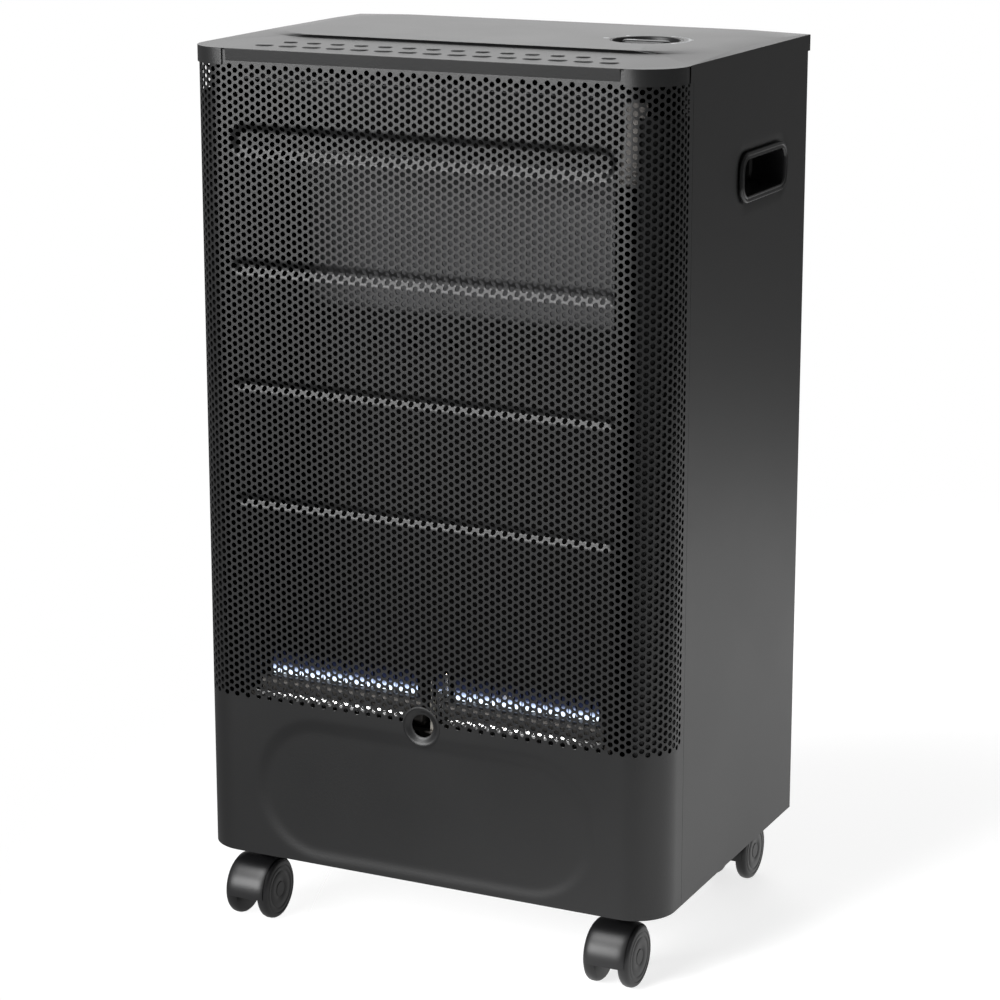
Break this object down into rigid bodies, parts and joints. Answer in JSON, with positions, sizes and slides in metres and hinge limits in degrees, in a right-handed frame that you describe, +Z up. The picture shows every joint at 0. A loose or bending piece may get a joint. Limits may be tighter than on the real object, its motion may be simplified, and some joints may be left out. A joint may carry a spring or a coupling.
{
  "type": "portable gas cabinet heater",
  "caption": "Free-standing charcoal sheet-steel gas cabinet heater on castors, with a perforated front wrapping its rounded corners, a recessed knob in the lid, side grips and a rear door.",
  "frame": {"origin": "on the floor under the middle of the heater's bounding box", "axes": "+X to the heater's left-hand side as seen from behind, which is the right in front view; +Y to the rear; +Z up"},
  "size_m": [0.4178, 0.3088, 0.73],
  "materials": {
    "cabinet_powder_coat": "charcoal-black satin powder coat on sheet steel",
    "heat_darkened_steel": "black heat-resistant paint, dulled by heat",
    "aluminised_steel": "bright aluminised sheet steel",
    "burner_steel": "stainless steel, satin",
    "brass": "machined brass",
    "copper_pipe": "drawn copper, slightly dulled",
    "ceramic": "white glazed ceramic",
    "black_plastic": "black moulded plastic, fine satin texture",
    "zinc_plated_steel": "zinc-plated steel",
    "castor_plastic": "black moulded nylon, satin-gloss",
    "axle_steel": "bright steel pin",
    "castor_wheel": "black nylon wheel, satin-gloss"
  },
  "bodies": {
    "cabinet": {"front_panel": "cabinet_powder_coat", "side_panel_left": "cabinet_powder_coat", "side_panel_right": "cabinet_powder_coat", "base_pan": "cabinet_powder_coat", "lid": "cabinet_powder_coat", "partition": "heat_darkened_steel", "chamber_wall_left": "heat_darkened_steel", "chamber_wall_right": "heat_darkened_steel", "heat_deflector": "aluminised_steel", "top_heat_shield": "aluminised_steel", "burner_tray": "aluminised_steel", "burner_left": "burner_steel", "burner_right": "burner_steel", "gas_manifold": "brass", "injector_left": "brass", "injector_right": "brass", "pilot_bracket": "burner_steel", "pilot_burner": "brass", "thermocouple": "copper_pipe", "ignition_electrode": "ceramic", "gas_valve": "brass", "valve_bracket": "aluminised_steel", "piezo_igniter": "black_plastic", "hose_nozzle": "brass", "main_gas_pipe": "copper_pipe", "pilot_gas_pipe": "copper_pipe", "knob_well": "black_plastic", "knob_return_spring": "zinc_plated_steel", "handle_left": "black_plastic", "handle_right": "black_plastic", "hinge_pintle_lower": "zinc_plated_steel", "hinge_pintle_upper": "zinc_plated_steel"},
    "rear_door": {"rear_door": "cabinet_powder_coat"},
    "door_latch": {"door_latch": "black_plastic"},
    "knob_plunger": {"push_sleeve": "zinc_plated_steel"},
    "knob": {"control_knob": "black_plastic", "knob_spindle": "zinc_plated_steel"},
    "castor_front_left": {"castor_hood_front_left": "castor_plastic", "castor_axle_front_left": "axle_steel"},
    "castor_wheel_front_left_a": {"castor_wheel_front_left_a": "castor_wheel"},
    "castor_wheel_front_left_b": {"castor_wheel_front_left_b": "castor_wheel"},
    "castor_front_right": {"castor_hood_front_right": "castor_plastic", "castor_axle_front_right": "axle_steel"},
    "castor_wheel_front_right_a": {"castor_wheel_front_right_a": "castor_wheel"},
    "castor_wheel_front_right_b": {"castor_wheel_front_right_b": "castor_wheel"},
    "castor_rear_left": {"castor_hood_rear_left": "castor_plastic", "castor_axle_rear_left": "axle_steel"},
    "castor_wheel_rear_left_a": {"castor_wheel_rear_left_a": "castor_wheel"},
    "castor_wheel_rear_left_b": {"castor_wheel_rear_left_b": "castor_wheel"},
    "castor_rear_right": {"castor_hood_rear_right": "castor_plastic", "castor_axle_rear_right": "axle_steel"},
    "castor_wheel_rear_right_a": {"castor_wheel_rear_right_a": "castor_wheel"},
    "castor_wheel_rear_right_b": {"castor_wheel_rear_right_b": "castor_wheel"}
  },
  "joints": [
    {"name": "rear_door_swing", "type": "hinge", "parent": "cabinet", "child": "rear_door", "pos_m": [-0.187, 0.1502, 0.4], "axis": [0, 0, 1], "range_deg": [0, 110]},
    {"name": "door_latch_turn", "type": "hinge", "parent": "rear_door", "child": "door_latch", "pos_m": [0.168, 0.147, 0.4], "axis": [0, 1, 0], "range_deg": [0, 90]},
    {"name": "knob_press", "type": "slide", "parent": "cabinet", "child": "knob_plunger", "axis": [0, 0, -1], "range_m": [0, 0.0045], "stiffness_N_per_m": 1500, "springref_m": -0.004, "deforming": ["knob_return_spring"]},
    {"name": "knob_turn", "type": "hinge", "parent": "knob_plunger", "child": "knob", "pos_m": [0.119, 0.016, 0.72], "axis": [0, 0, 1], "range_deg": [0, 210]},
    {"name": "castor_swivel_front_left", "type": "hinge", "parent": "cabinet", "child": "castor_front_left", "pos_m": [-0.163, -0.107, 0.06], "axis": [0, 0, 1], "continuous": true},
    {"name": "wheel_spin_front_left_a", "type": "hinge", "parent": "castor_front_left", "child": "castor_wheel_front_left_a", "pos_m": [-0.163, -0.127, 0.025], "axis": [1, 0, 0], "continuous": true},
    {"name": "wheel_spin_front_left_b", "type": "hinge", "parent": "castor_front_left", "child": "castor_wheel_front_left_b", "pos_m": [-0.163, -0.127, 0.025], "axis": [1, 0, 0], "continuous": true},
    {"name": "castor_swivel_front_right", "type": "hinge", "parent": "cabinet", "child": "castor_front_right", "pos_m": [0.163, -0.107, 0.06], "axis": [0, 0, 1], "continuous": true},
    {"name": "wheel_spin_front_right_a", "type": "hinge", "parent": "castor_front_right", "child": "castor_wheel_front_right_a", "pos_m": [0.163, -0.127, 0.025], "axis": [1, 0, 0], "continuous": true},
    {"name": "wheel_spin_front_right_b", "type": "hinge", "parent": "castor_front_right", "child": "castor_wheel_front_right_b", "pos_m": [0.163, -0.127, 0.025], "axis": [1, 0, 0], "continuous": true},
    {"name": "castor_swivel_rear_left", "type": "hinge", "parent": "cabinet", "child": "castor_rear_left", "pos_m": [-0.163, 0.107, 0.06], "axis": [0, 0, 1], "continuous": true},
    {"name": "wheel_spin_rear_left_a", "type": "hinge", "parent": "castor_rear_left", "child": "castor_wheel_rear_left_a", "pos_m": [-0.163, 0.127, 0.025], "axis": [1, 0, 0], "continuous": true},
    {"name": "wheel_spin_rear_left_b", "type": "hinge", "parent": "castor_rear_left", "child": "castor_wheel_rear_left_b", "pos_m": [-0.163, 0.127, 0.025], "axis": [1, 0, 0], "continuous": true},
    {"name": "castor_swivel_rear_right", "type": "hinge", "parent": "cabinet", "child": "castor_rear_right", "pos_m": [0.163, 0.107, 0.06], "axis": [0, 0, 1], "continuous": true},
    {"name": "wheel_spin_rear_right_a", "type": "hinge", "parent": "castor_rear_right", "child": "castor_wheel_rear_right_a", "pos_m": [0.163, 0.127, 0.025], "axis": [1, 0, 0], "continuous": true},
    {"name": "wheel_spin_rear_right_b", "type": "hinge", "parent": "castor_rear_right", "child": "castor_wheel_rear_right_b", "pos_m": [0.163, 0.127, 0.025], "axis": [1, 0, 0], "continuous": true}
  ]
}
